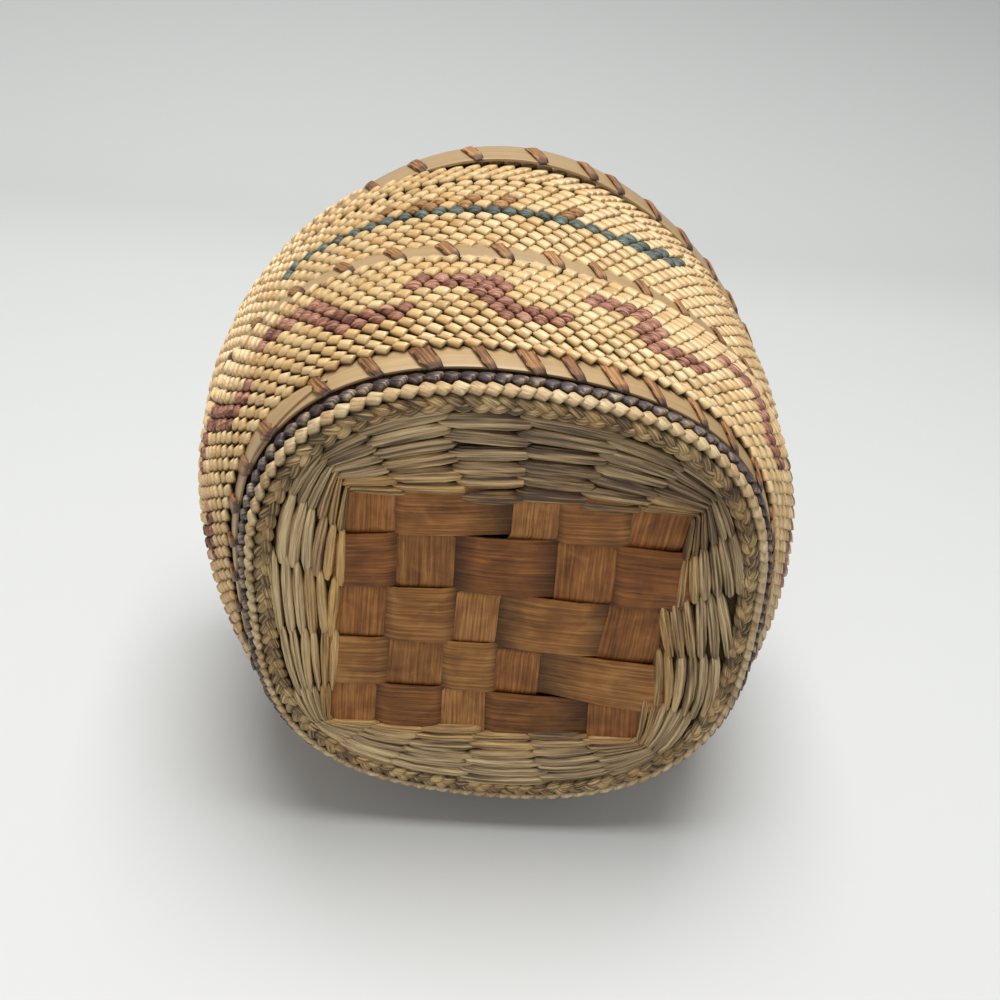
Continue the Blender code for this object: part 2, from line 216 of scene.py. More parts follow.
def on_base(x, y, level):
    """The place on the base, at a height, that is seen at a pixel."""
    x, y = np.broadcast_arrays(np.asarray(x, float), np.asarray(y, float))
    ray = FORWARD + (x[..., None] - MIDDLE) / PIXELS * RIGHT + (y[..., None] - MIDDLE) / PIXELS * DOWN
    reach = (level - EYE[2]) / ray[..., 2:]
    return EYE + ray * reach


def angle_seen(surface, along, x, y):
    """The angle at which a ring on a surface passes nearest to a pixel."""
    angles = np.linspace(-math.pi, math.pi, 3600, endpoint=False)
    px, py = pixel_of(surface.at(angles, np.full_like(angles, along)))
    return float(angles[np.argmin((px - x) ** 2 + (py - y) ** 2)])


def along_seen(surface, x, y):
    """How far along a surface a pixel near the top of the photograph is."""
    near_top = np.radians(np.linspace(-150, -30, 600))
    angles, alongs = np.meshgrid(near_top, np.linspace(0, surface.length, 200))
    px, py = pixel_of(surface.at(angles, alongs))
    return float(alongs.ravel()[np.argmin((px - x) ** 2 + (py - y) ** 2)])


# %% [markdown]
# One small function adds a shader node with its settings and its links. Colours are written
# as sRGB hex, as a colour picker gives them, and Blender's shaders want them linear.

# %% Colours and nodes
def linear(code):
    """An sRGB hex colour as the linear colour that a shader takes."""
    parts = [int(code[k:k + 2], 16) / 255 for k in (1, 3, 5)]
    return [c / 12.92 if c <= 0.04045 else ((c + 0.055) / 1.055) ** 2.4 for c in parts] + [1.0]


def add(tree, kind, inputs=None, **settings):
    """Adds a node, sets its settings, and sets its inputs or links them to outputs."""
    made = tree.nodes.new(kind)
    for name, value in settings.items():
        setattr(made, name, value)
    for name, value in (inputs or {}).items():
        if isinstance(value, bpy.types.NodeSocket):
            tree.links.new(value, made.inputs[name])
        else:
            made.inputs[name].default_value = value
    return made


def shades(ramp, stops):
    """Gives a colour ramp its stops."""
    elements = ramp.color_ramp.elements
    while len(elements) < len(stops):
        elements.new(0.5)
    for element, (place, code) in zip(elements, stops):
        element.position = place
        element.color = linear(code)


def new_material(name):
    """A material, with its node tree and its shader."""
    made = bpy.data.materials.new(name)
    made.use_nodes = True
    return made, made.node_tree, made.node_tree.nodes["Principled BSDF"]


def finish_shader(tree, shader, colour, bump, roughness, gloss):
    """Links a material's colour and relief to its shader, and sets its roughness and gloss."""
    tree.links.new(colour, shader.inputs["Base Color"])
    tree.links.new(bump.outputs["Normal"], shader.inputs["Normal"])
    shader.inputs["Roughness"].default_value = roughness
    shader.inputs["Specular IOR Level"].default_value = gloss


# %% [markdown]
# Nearly everything here is grass or bark, so one function makes their materials. Plant fibre
# has streaks along it, and each blade has a tone and a hue of its own. Down between the blades,
# where the light doesn't reach, the colour is darkened with painted shade. The streaks' pattern
# is stretched along the fibres of a UV map in millimetres, and the rest comes from numbers that
# each piece carries on its points.
# In a Mix node, 0, 6 and 7 are the sockets for a share and two colours, and 2 is the result.

# %% A material for grass and bark
TONE_SHARE = 0.45
STREAKS_AT_REST = 0.275
PATCH_SHARE = 0.35
PATCH_RELIEF = 0.5
# Below this rise, the painted shade in the creases darkens the colour.
CREASE_SHADE_END = 0.5


def fibre_material(
    name, dark, middle, bright, roughness, grain_mm, relief, length=6.0, tint="#ffffff",
    crease_shade=0.3, slant=0.0, gloss=0.5, spread=0.25, patch_mm=0.0, streak=0.55,
):
    """Plant fibre. grain_mm is a streak's width, length how many times as long it is, streak
    how strong and slant how it turns. tint is the second hue, the crease share how dark the
    painted shade between the blades gets, spread how far the dark and the bright are from the
    middle, and patch_mm the size of darker and lighter patches, where there are any."""
    made, tree, shader = new_material(name)
    place = add(tree, "ShaderNodeUVMap", uv_map="fibre").outputs["UV"]
    marks = ("tone", "rise", "hue")
    tone, rise, hue = (add(tree, "ShaderNodeAttribute", attribute_name=mark).outputs["Fac"] for mark in marks)
    stretch = {"Vector": place, "Rotation": (0.0, 0.0, slant), "Scale": (grain_mm * length, grain_mm, 1.0)}
    streaks = add(tree, "ShaderNodeMapping", stretch, vector_type="TEXTURE").outputs["Vector"]
    pattern = {"Vector": streaks, "Scale": 1.0, "Detail": 3.0, "Roughness": 0.6}
    grain = add(tree, "ShaderNodeTexNoise", pattern).outputs["Fac"]
    strength = {0: grain, 1: streak, 2: STREAKS_AT_REST - 0.5 * streak}
    mixed = add(tree, "ShaderNodeMath", strength, operation="MULTIPLY_ADD").outputs[0]
    toned = add(tree, "ShaderNodeMath", {0: tone, 1: TONE_SHARE, 2: mixed}, operation="MULTIPLY_ADD").outputs[0]
    if patch_mm:
        pattern = {"Vector": place, "Scale": 1.0 / patch_mm, "Detail": 2.0, "Distortion": 0.6}
        patch = add(tree, "ShaderNodeTexNoise", pattern).outputs["Fac"]
        patched = {0: patch, 1: PATCH_SHARE, 2: toned}
        toned = add(tree, "ShaderNodeMath", patched, operation="MULTIPLY_ADD").outputs[0]
        toned = add(tree, "ShaderNodeMath", {0: toned, 1: 0.5 * PATCH_SHARE}, operation="SUBTRACT").outputs[0]
    ramp = add(tree, "ShaderNodeValToRGB", {"Fac": toned})
    shades(ramp, [(0.5 - spread, dark), (0.5, middle), (0.5 + spread, bright)])
    multiply = {"data_type": "RGBA", "blend_type": "MULTIPLY"}
    tinted = add(tree, "ShaderNodeMix", {0: hue, 6: ramp.outputs["Color"], 7: linear(tint)}, **multiply)
    # Painted shade: points low in the weave, by their rise mark, are darkened down to the crease share.
    depths = {"Value": rise, "From Min": 0.0, "From Max": CREASE_SHADE_END, "To Min": crease_shade, "To Max": 1.0}
    depth = add(tree, "ShaderNodeMapRange", depths).outputs["Result"]
    shaded = add(tree, "ShaderNodeMix", {0: 1.0, 6: tinted.outputs[2], 7: depth}, **multiply)
    bump = add(tree, "ShaderNodeBump", {"Height": grain, "Strength": 1.0, "Distance": relief * MM})
    if patch_mm:
        deeper = {"Height": patch, "Strength": 1.0, "Distance": PATCH_RELIEF * MM}
        bump = add(tree, "ShaderNodeBump", {**deeper, "Normal": bump.outputs["Normal"]})
    finish_shader(tree, shader, shaded.outputs[2], bump, roughness, gloss)
    return made


# %% [markdown]
# ## The stitch
#
# A wrapped stitch is a short, smooth band of grass. Its left end goes in under its neighbour,
# and its right end is a raised, round edge that laps over the next stitch. It is modelled
# once, from a sphere with its poles at the left and the right, so that its rings are slices
# across the stitch that can be made wider, narrower, higher or lower one by one. It has few
# faces, because it is used thousands of times.

# %% Select parts of a shape
def only(obj):
    """Leaves edit mode, and makes an object the active and only selected one."""
    if bpy.context.object and bpy.context.object.mode != "OBJECT":
        bpy.ops.object.mode_set(mode="OBJECT")
    bpy.ops.object.select_all(action="DESELECT")
    obj.select_set(True)
    bpy.context.view_layer.objects.active = obj


def pick(obj, test):
    """Selects the vertices whose place passes a test, and goes into edit mode."""
    only(obj)
    bpy.ops.object.mode_set(mode="EDIT")
    bpy.ops.mesh.select_mode(type="VERT")
    bpy.ops.mesh.select_all(action="DESELECT")
    bpy.ops.object.mode_set(mode="OBJECT")
    for vertex in obj.data.vertices:
        vertex.select = bool(test(vertex.co))
    bpy.ops.object.mode_set(mode="EDIT")


def resize(*sizes):
    """Resizes what is selected about the origin."""
    bpy.ops.transform.resize(value=sizes, center_override=(0, 0, 0))


# %% A pad with a flat underside
ASIDE = 5.0  # where a finished ring waits, so that the next ones don't pick it up


def pillow(slices):
    """A pad from a sphere whose poles are its left and right ends. Each slice has its place
    across, its middle, half its width and its height."""
    lying = (0, math.pi / 2, 0)
    bpy.ops.mesh.primitive_uv_sphere_add(segments=6, ring_count=len(slices) - 1, rotation=lying)
    made = bpy.context.object
    bpy.ops.object.transform_apply(location=False, rotation=True, scale=False)
    pick(made, lambda co: co.z > 0.01 and abs(co.y) > 0.01)
    resize(1.0, 0.97, 1.6)
    pick(made, lambda co: co.z < -0.01)
    resize(1.0, 1.155, 0.1)
    only(made)
    rings = sorted({round(vertex.co.x, 3) for vertex in made.data.vertices})
    for old, (place, middle, half, height) in zip(rings, slices):
        reach = math.sqrt(max(1.0 - old * old, 0.0))
        pick(made, lambda co: abs(co.x - old) < 0.02)
        if reach > 0.05:
            resize(1.0, half / reach, height / reach)
            height = 0.0
        bpy.ops.transform.translate(value=(place - old + ASIDE, middle, height))
    pick(made, lambda co: True)
    bpy.ops.transform.translate(value=(-ASIDE, 0.0, 0.0))
    only(made)
    return made


def taken(obj):
    """A modelled shape as plain vertices and faces, ready to be copied."""
    points = np.array([vertex.co[:] for vertex in obj.data.vertices])
    faces = [tuple(face.vertices) for face in obj.data.polygons]
    bpy.data.objects.remove(obj, do_unlink=True)
    return points, faces


# %% The wrapped stitch, and the plumper one of dyed grass
STITCH = taken(pillow([
    (-0.62, 0.0, 0.0, 0.05), (-0.57, 0.0, 0.45, 0.48), (-0.42, 0.0, 0.53, 0.82), (-0.08, 0.0, 0.55, 0.98),
    (0.24, 0.0, 0.55, 1.04), (0.47, 0.0, 0.54, 1.02), (0.505, 0.0, 0.51, 0.95), (0.53, 0.0, 0.0, 0.2),
]))
TWIST = taken(pillow([
    (-0.68, 0.0, 0.0, 0.1), (-0.56, 0.0, 0.42, 0.5), (-0.32, 0.02, 0.56, 0.95),
    (0.0, 0.0, 0.60, 1.12), (0.28, -0.02, 0.57, 1.08), (0.48, -0.02, 0.44, 0.85), (0.62, 0.0, 0.0, 0.2),
]))
print("stitch faces:", len(STITCH[1]))

# %% [markdown]
# ## Laying the stitches
#
# Copies of a shape are laid over a surface, each one bent to it. Every copy carries three
# things for its material: a UV map in millimetres along the fibres, a tone of its own, and
# how far each point rises out of the weave, so that painted shade can darken the creases.

# %% Make and finish a piece
def finish_piece(obj, material, slot, *nodes):
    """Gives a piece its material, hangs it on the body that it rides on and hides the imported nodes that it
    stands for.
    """
    body = "lid" if nodes[0].startswith("lid") else "basket"
    obj.data.materials.clear()
    obj.data.materials.append(material)
    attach(obj, body)
    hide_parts(*nodes)


def mark_points(mesh, marks):
    """Writes numbers such as tone and rise onto a mesh's points, for its material."""
    for label, values in marks.items():
        attribute = mesh.attributes.new(label, "FLOAT", "POINT")
        attribute.data.foreach_set("value", np.asarray(values, np.float32))


def map_fibres(mesh, fibre, marks):
    """Gives a mesh the UV map that its fibres follow, in millimetres, and its marks."""
    layer = mesh.uv_layers.new(name="fibre")
    corner = np.zeros(len(mesh.loops), int)
    mesh.loops.foreach_get("vertex_index", corner)
    layer.data.foreach_set("uv", fibre[corner].astype(np.float32).ravel())
    mark_points(mesh, marks)


def mesh_piece(name, points, faces, fibre, marks):
    """One mesh object from points in millimetres, with its fibre map and its marks."""
    mesh = bpy.data.meshes.new(name)
    mesh.from_pydata((points * MM).tolist(), [], faces)
    map_fibres(mesh, fibre, marks)
    mesh.shade_smooth()
    obj = bpy.data.objects.new(name, mesh)
    bpy.context.scene.collection.objects.link(obj)
    return obj


# %% A function that lays copies over a surface
FIBRE_START = 60.0  # mm within which each copy's fibres start, so that no two look the same


def lay(
    name, shape, surface, angle, along, wide, high, thick, turn=0.0, lift=0.0, lean=0.0, tip=(0.0, 0.0),
    tone=None, shade_fade=0.0, stain=None, hue=None,
):
    """Lays copies of a shape on a surface, each with its own size. lean slants a copy's
    sides, tip raises its right end and its upper side, in millimetres, the fade share paints
    light and shade by changing each copy's tone from left to right, and the per-point hue
    function gives each point's share of the second hue, which is used for painted shade."""
    points, faces = shape
    count = len(angle)
    each = (angle, along, wide, high, thick, turn, lift, lean)
    angle, along, wide, high, thick, turn, lift, lean = (
        np.broadcast_to(np.asarray(values, float), (count,))[:, None] for values in each
    )
    right, top, out = points.T[:, None]
    up = top * high
    across = right * wide - lean * up
    x = across * np.cos(turn) - up * np.sin(turn)
    y = across * np.sin(turn) + up * np.cos(turn)
    z = lift + out * thick + tip[0] * right + tip[1] * top
    placed = lifted(surface, angle + x / surface.radius(along), along + y, z)
    jumbled = [tuple(v + k * len(points) for v in face) for k in range(count) for face in faces]
    start = chance.uniform(0.0, FIBRE_START, (count, 2))
    fibre = np.stack([across + start[:, :1], up + start[:, 1:]], axis=-1)
    if tone is None:
        tone = np.clip(chance.normal(0.5, 0.1, count), 0.0, 1.0)
    if hue is None:
        hue = chance.uniform(0.0, 1.0, count)
    marks = {
        "tone": np.repeat(tone, len(points)) + shade_fade * np.tile(points[:, 0], count),
        "hue": np.repeat(hue, len(points)) if stain is None else np.tile(stain(points), count),
        "rise": np.tile(np.clip(points[:, 2] / points[:, 2].max(), 0.0, 1.0), count),
    }
    made = mesh_piece(name, placed.reshape(-1, 3), jumbled, fibre.reshape(-1, 2), marks)
    print(name, count, "copies,", len(made.data.polygons), "faces")
    return made


# %% [markdown]
# ## The wall's stitches
#
# The lower wall has 13 rows, read from the photograph, and the upper wall 11 even ones, about
# 1.2 mm apart. Each row is moved half a stitch round from the one below. The stepped motifs
# and the canoe are dyed stitches of the same make, so a small function says which colour each
# stitch has, and each colour is laid as one piece.

# %% Bear grass, undyed and dyed
STITCHES = 120
STITCH_ANGLE = math.tau / STITCHES


def dyed_grass(name, dark, middle, bright, streak=1.2):
    """Grass boiled in dye takes it unevenly and wrinkles: matt, dark and streaked."""
    looks = {"length": 8.0, "crease_shade": 0.22, "slant": 0.3, "spread": 0.2, "streak": streak}
    return fibre_material(name, dark, middle, bright, 0.6, 0.3, 0.4, **looks)


MATERIALS = {
    # Dried bear grass is smooth and hard, so the light slides along its pale, even blades.
    "straw": fibre_material(
        "wrapped_bear_grass", "#967a4f", "#c2a87c", "#d8c296", 0.42, 0.3, 0.04, tint="#f6e8d4", crease_shade=0.22,
    ),
    "maroon": dyed_grass("maroon_dyed_grass", "#452115", "#8a5843", "#b4866c"),
    "teal": dyed_grass("teal_dyed_grass", "#232723", "#48534b", "#707b70"),
    "brown": dyed_grass("brown_dyed_grass", "#573619", "#8d6236", "#b38956", streak=1.0),
}

# %% The stepped motif on the lower wall
MOTIFS = 13
ROWS_SEEN_X = 507
ROWS_SEEN_Y = (347.5, 339.5, 331.5, 324, 316.5, 309.5, 303, 296.5, 290, 283.5, 277, 271.5, 266)
LOWER_ROWS = [along_seen(lower_wall, ROWS_SEEN_X, y) for y in ROWS_SEEN_Y]
# One motif: each of its rows, with its height in the photograph and its bar's two ends.
MOTIF_SEEN = {
    5: (312, 508, 558), 6: (306, 501, 566), 7: (300, 491, 511),
    8: (293, 487, 505), 9: (286, 419, 500), 10: (278, 429, 491),
}
MOTIF_BARS = {
    row: [angle_seen(lower_wall, LOWER_ROWS[row - 1], x, y) / STITCH_ANGLE for x in ends]
    for row, (y, *ends) in MOTIF_SEEN.items()
}
print("rows, mm along the wall:", [round(s, 1) for s in LOWER_ROWS])
print("motif, in stitches:", {row: [round(e, 1) for e in ends] for row, ends in MOTIF_BARS.items()})


def lower_colour(row, place):
    """The stepped motif: a bar below, a short step and a bar above, moved left as it rises."""
    if row not in MOTIF_BARS:
        return "straw"
    start, end = MOTIF_BARS[row]
    past = (place - start + 0.5) % (STITCHES / MOTIFS)
    return "maroon" if past <= end - start + 0.95 else "straw"


# %% The canoe on the upper wall
HULL_ROW = 6
HULL_ENDS = (-135.5, -58.5)
HULL_STEPS = (-72.5, -67.0, -62.5)
PADDLERS = (-117.0, -109.5, -102.5, -95.5, -84.5)


def upper_colour(row, place):
    """The canoe: a hull of teal stitches with raised ends, and brown paddlers above it."""
    angle = (math.degrees(place * STITCH_ANGLE) + 180) % 360 - 180
    left, right = HULL_ENDS
    if left < angle < right:
        hull = HULL_ROW + sum(angle > step for step in HULL_STEPS)
        if row == hull or (row == hull - 1 and (angle < left + 3 or angle > HULL_STEPS[0] - 1)):
            return "teal"
        for paddler in PADDLERS:
            middle = paddler + 1.5 * (row - HULL_ROW - 1)
            if row in (HULL_ROW + 1, HULL_ROW + 2) and abs(angle - middle) < 1.6:
                return "brown"
    return "straw"


# %% Rows of stitches
def rows_of(
    name, surface, rows, node, colour=lambda row, place: "straw", edge=0.0, count=lambda row: STITCHES,
):
    """Lays a surface's rows of stitches, one piece for each colour that they hold. rows is how
    many even ones there are, or where uneven ones run. A stitch leans down to the right, its
    ends lean the other way, and edge is how far the end rows bulge over the hoop beside them."""
    if isinstance(rows, int):
        rows = (np.arange(rows) + 0.5) * surface.length / rows
    groups = {}
    for row, (along, pitch) in enumerate(zip(rows, np.gradient(rows))):
        number = count(row)
        at_hoop = (row == 0) + 0.4 * (row == len(rows) - 1)
        for k in range(number):
            place = k + 0.5 * (row % 2)
            facts = (place * math.tau / number, along, math.tau / number, pitch, at_hoop)
            groups.setdefault(colour(row + 1, place), []).append(facts)
    for label, places in groups.items():
        angle, along, step, pitch, at_hoop = (np.array(column, float) for column in zip(*places))
        number = len(angle)
        across = surface.radius(along) * step
        steep = 0.45 + 0.35 * np.cos(angle + 0.5)
        side = np.stack([(0.74 - 0.12 * steep) * across, -(0.66 + 0.4 * steep) * pitch])
        end = np.stack([0.45 * across, 0.90 * pitch])
        length = np.hypot(*side)
        height = (side[0] * end[1] - side[1] * end[0]) / length
        plain = label == "straw"
        piece = lay(
            f"{name}_{label}", STITCH if plain else TWIST, surface,
            angle + chance.normal(0, 0.02, number) * step, along + chance.normal(0, 0.02, number) * pitch,
            length * chance.normal(1.0, 0.02, number), height * chance.normal(1.02, 0.03, number),
            chance.normal(0.5, 0.03, number),
            np.arctan2(side[1], side[0]) + chance.normal(0.0, 0.04, number),
            lift=0.4 * edge * at_hoop, lean=-(side[0] * end[0] + side[1] * end[1]) / (length * height),
            tip=(0.34, 0.06),
        )
        finish_piece(piece, MATERIALS[label], "straw" if plain else "dark_grass", node)


rows_of("lower_wall", lower_wall, LOWER_ROWS, "body_wall", lower_colour, edge=1.0)
rows_of("upper_wall", upper_wall, 11, "body_wall", upper_colour, edge=0.2)
rows_of("neck", neck, 5, "body_wall")

# %% [markdown]
# The lid is woven like the wall, from its flange in to the plait in its middle. Warps are
# dropped as the rounds get smaller, so that the stitches keep their width. The photograph
# hides it, so its stitches are plain.

# %% The lid's stitches
ROW_PITCH = 1.3
LID_ROWS = round(lid_top.length / ROW_PITCH)
FULL_RADIUS = 42.0  # where a row has all its stitches


def lid_count(row):
    """A row of the lid has as many stitches as fit, in twelves, as the warps are dropped."""
    radius = lid_top.radius((row + 0.5) * lid_top.length / LID_ROWS)
    return int(max(24, 12 * round(STITCHES * radius / FULL_RADIUS / 12)))


rows_of("lid_flange", lid_flange, 4, "lid_shell")
rows_of("lid_top", lid_top, LID_ROWS, "lid_shell", count=lid_count)

# %% [markdown]
# ## The wall behind the stitches
#
# Seen from inside, the wall is a sheet with upright ribs, the warps. It is a flat grid that
# is wrapped round the basket, joined where its ends meet and then given its thickness. Real
# warps with gaps between them would cost many faces and show only when the lid is off.

# %% Flat grids, wrapped and thickened
def flat_grid(name, columns, rows):
    """A flat grid, with its points' places from -1 to 1 along it and across it."""
    bpy.ops.mesh.primitive_grid_add(x_subdivisions=columns, y_subdivisions=rows, size=2.0)
    made = bpy.context.object
    made.name = made.data.name = name
    flat = np.array([vertex.co[:] for vertex in made.data.vertices])
    return made, flat[:, 0], flat[:, 1]


def put_points(obj, placed):
    """Moves an object's points to places in millimetres."""
    obj.data.vertices.foreach_set("co", (placed * MM).ravel())


def edit_all(obj, operator, **settings):
    """Uses one of edit mode's operators on a whole object."""
    only(obj)
    bpy.ops.object.mode_set(mode="EDIT")
    bpy.ops.mesh.select_all(action="SELECT")
    operator(**settings)
    bpy.ops.object.mode_set(mode="OBJECT")


def apply_modifier(obj, kind, **settings):
    """Adds a modifier with its settings, and applies it."""
    only(obj)
    added = obj.modifiers.new(kind.lower(), kind)
    for name, value in settings.items():
        setattr(added, name, value)
    bpy.ops.object.modifier_apply(modifier=added.name)


def sheet(name, node, surface, material, slot, columns, rows, lift, thickness, ribs=0.0):
    """A grid wrapped all the way round a surface and lifted off it, with a rib for each warp."""
    made, x, y = flat_grid(name, columns, rows)
    angle = x * math.pi
    along = (y + 1.0) * 0.5 * surface.length
    put_points(made, lifted(surface, angle, along, lift + ribs * np.cos(STITCHES * angle)))
    edit_all(made, bpy.ops.mesh.remove_doubles, threshold=0.00001)
    apply_modifier(made, "SOLIDIFY", thickness=thickness * MM)
    made.data.shade_smooth()
    finish_piece(made, material, slot, node)


# %% Cedar bark behind the stitches
BARK_GRAIN = 0.35
BARK_RELIEF = 0.1


def bark_material(name, dark, middle, bright, roughness, gloss=0.5):
    """Bark that stands upright. Its fibres, ten times as long as they are wide, follow the
    object's own coordinates."""
    made, tree, shader = new_material(name)
    place = add(tree, "ShaderNodeTexCoord").outputs["Object"]
    width = 1.0 / (BARK_GRAIN * MM)
    streaks = add(tree, "ShaderNodeMapping", {"Vector": place, "Scale": (width, width, 0.1 * width)})
    pattern = {"Vector": streaks.outputs["Vector"], "Scale": 1.0, "Detail": 4.0, "Roughness": 0.65}
    grain = add(tree, "ShaderNodeTexNoise", pattern).outputs["Fac"]
    ramp = add(tree, "ShaderNodeValToRGB", {"Fac": grain})
    shades(ramp, [(0.3, dark), (0.5, middle), (0.72, bright)])
    bump = add(tree, "ShaderNodeBump", {"Height": grain, "Strength": 1.0, "Distance": BARK_RELIEF * MM})
    finish_shader(tree, shader, ramp.outputs["Color"], bump, roughness, gloss)
    return made


# Cedar bark split into warps and left as it is: brown, dull and rough to the light.
inner_cedar = bark_material("cedar_warps", "#4b3322", "#76543a", "#9b7450", 0.75)

# %% The inner wall, neck and lid
WARP_RIBS = 0.12
whole_wall = Turned([
    (33.4, 3.0), (34.2, 4.4), (35.4, 7.2), (36.8, 8.7), (38.5, 10.4), (40.0, 13.2), (40.9, 16.5), (41.0, 19.3),
    (41.0, 21.3), (40.0, 22.9), (40.0, 25.7), (41.2, 27.4), (42.3, 32.2), (42.6, 36.1), (42.6, 38.6),
])
neck_line = Turned([(41.8, 39.0), (39.6, 39.9), (39.2, 40.4), (39.2, 47.8)])
lid_line = Turned(
    [(42.6, 40.1), (41.8, 45.3)] + LID_LINE, square_within=LID_PLAIT_HALF, round_beyond=LID_FLAT_RADIUS,
)
for name, node, surface, rows, lift, thickness in (
    ("inner_wall", "body_wall", whole_wall, 36, -0.5, 0.7),
    ("inner_neck", "body_wall", neck_line, 12, -0.3, 0.9),
    ("inner_lid", "lid_shell", lid_line, 36, -0.3, 0.8),
):
    sheet(name, node, surface, inner_cedar, "cedar_bark", 4 * STITCHES, rows, lift, thickness, ribs=WARP_RIBS)

# %% [markdown]
# ## The hoops
#
# Each hoop is one split length of pale root or wood, bent round the basket until its tapered
# end lies over its start. A flat strip is drawn with a grid. Its points are wrapped onto the
# basket, its end is drawn in and lifted, and it is given its thickness last, so that the
# modifier works on the bent strip.

# %% Flat strips that are bent and thickened
def shape_strip(made, placed, fibre, marks, thickness, worn=0.1):
    """Moves a strip's points, maps its fibres, and gives it its thickness and worn edges."""
    mesh = made.data
    put_points(made, placed)
    while mesh.uv_layers:
        mesh.uv_layers.remove(mesh.uv_layers[0])
    map_fibres(mesh, fibre, marks)
    apply_modifier(made, "SOLIDIFY", thickness=thickness * MM)
    apply_modifier(made, "BEVEL", width=worn * MM, segments=2, limit_method="ANGLE")
    mesh.shade_smooth()


# %% The three hoops
# A split root has one smooth, waxy face with long, fine fibres, so it shines softly along them.
splint = fibre_material(
    "split_root_hoop", "#7f6642", "#977d58", "#ab906a", 0.4, 0.6, 0.015, length=30.0, crease_shade=1.0,
)
LAP = 0.4  # radians that a hoop's end lies over its start
MEAN_RADIUS = 40.0
HOOPS = {  # the surface that each hoop lies on, and its height in mm
    "lower": (Turned([(36.5, 4.4), (37.1, 8.3)]), 3.9),
    "middle": (Turned([(41.5, 23.6), (41.6, 26.5)]), 2.9),
    "lid": (Turned([(43.2, 45.3), (43.3, 49.9)], bumps=[(-90, 25, 0.9), (-135, 24, -1.7)]), 4.5),
}


def hoop(which, thickness, start_degrees):
    """A splint wound a little more than once round, with its tapered end lapping its start."""
    seat, height = HOOPS[which]
    made, x, y = flat_grid(f"{which}_hoop_splint", 480, 6)
    turn = (x + 1.0) * 0.5 * (math.tau + LAP)
    angle = math.radians(start_degrees) + turn
    taper = np.clip((math.tau + LAP - turn) / (0.6 * LAP), 0.06, 1.0) ** 0.7
    wander = 0.08 * np.sin(3 * angle + 1.0) + 0.05 * np.sin(7 * angle)
    along = 0.5 * height + y * 0.5 * height * taper + wander
    over = np.clip((turn - math.tau + 0.1) / 0.2, 0.0, 1.0)
    lift = 0.1 * (1.0 - y ** 2) + over * (thickness + 0.05)
    fibre = np.stack([turn * MEAN_RADIUS, y * 0.5 * height], axis=-1)
    marks = {"tone": 0.5 + 0.12 * np.sin(2.3 * angle), "hue": np.full_like(x, 0.3), "rise": np.ones_like(x)}
    shape_strip(made, lifted(seat, angle, along, lift), fibre, marks, thickness)
    finish_piece(made, splint, "splint", f"{which}_hoop")


hoop("lower", thickness=0.38, start_degrees=-150)
hoop("middle", thickness=0.3, start_degrees=60)
hoop("lid", thickness=0.45, start_degrees=100)

# %% [markdown]
# ## The lashings
#
# A strand of brown cedar bark goes over each hoop and through the weave, 40 times round. It
# comes out from under a stitch above the hoop, slants across it and dives in below it. The
# strand is drawn once as a flat strip that bends down at both ends. Where the photograph
# shows a strand, it is laid where it is seen and as wide as it is seen, and the others
# follow at even steps.

# %% Draw the strand
def strand_shape():
    """A short flat strand, narrower and bent down at its ends."""
    made, x, y = flat_grid("strand", 4, 11)
    for vertex, across, up in zip(made.data.vertices, x, y):
        dive = max(0.0, -up - 0.5) / 0.5 + max(0.0, up - 0.62) / 0.38
        vertex.co = (0.5 * across * (1.0 - 0.25 * dive), 0.5 * up, 1.0 - 1.7 * dive ** 1.3 - 0.3 * across ** 2)
    apply_modifier(made, "SOLIDIFY", thickness=0.35)
    return taken(made)


STRAND = strand_shape()
# Inner bark pulled off in ribbons: reddish, with deep streaks along it and no shine.
# Its grey tint is painted shade, laid where a strand dives in below its hoop.
lashing_bark = fibre_material(
    "cedar_bark_strand", "#523419", "#80562e", "#a37646", 0.55, 0.32, 0.25, length=14.0, tint="#7d7883",
    crease_shade=1.0, slant=1.5708, spread=0.2, streak=1.2,
)

# %% Where the photograph shows the strands, and how wide they are
LASHINGS = 40
LASHINGS_SEEN = {
    "lower": [
        (263, 425, 2.4), (322, 390, 1.5), (373, 375, 1.3), (427, 370, 2.3), (483, 365, 1.3), (530, 367, 2.0),
        (571, 375, 1.5), (612, 385, 2.0), (652, 395, 1.3), (692, 420, 1.2), (727, 437, 1.6), (755, 472, 1.6),
        (767, 522, 1.8),
    ],
    "middle": [
        (295, 290, 1.5), (343, 266, 1.5), (395, 254, 1.5), (447, 249, 1.8), (503, 252, 1.6), (554, 262, 1.6),
        (597, 272, 1.4), (643, 290, 1.5), (682, 307, 1.4), (720, 335, 1.4),
    ],
    "lid": [(418, 168, 1.6), (473, 160, 1.6), (536, 158, 1.8), (590, 165, 1.8), (620, 176, 1.6)],
}


def shaded_end(points):
    """How much painted shade a strand's point gets, where it dives in below its hoop."""
    return np.clip((-points[:, 1] - 0.26) * 12.0, 0.0, 1.0)


def lashings(which, above, below, lift, slant):
    """Lays the strand at the places that are seen, and at even steps in between."""
    seat, height = HOOPS[which]
    seen = LASHINGS_SEEN[which]
    angles = [angle_seen(seat, 0.5 * height, x, y) for x, y, _ in seen]
    gap = math.tau - (angles[-1] - angles[0])
    steps = LASHINGS - len(seen) + 1
    more = [angles[-1] + gap * k / steps for k in range(1, steps)]
    wide = np.array([wide for _, _, wide in seen] + list(chance.uniform(1.2, 2.2, len(more))))
    piece = lay(
        f"{which}_lashing_strands", STRAND, seat, np.array(angles + more), 0.5 * (height + above - below),
        wide, height + above + below, 0.32, slant, lift, stain=shaded_end,
    )
    print(which, "lashing, degrees:", [round(math.degrees(a)) for a in angles])
    finish_piece(piece, lashing_bark, "lashing_bark", f"{which}_lashing")


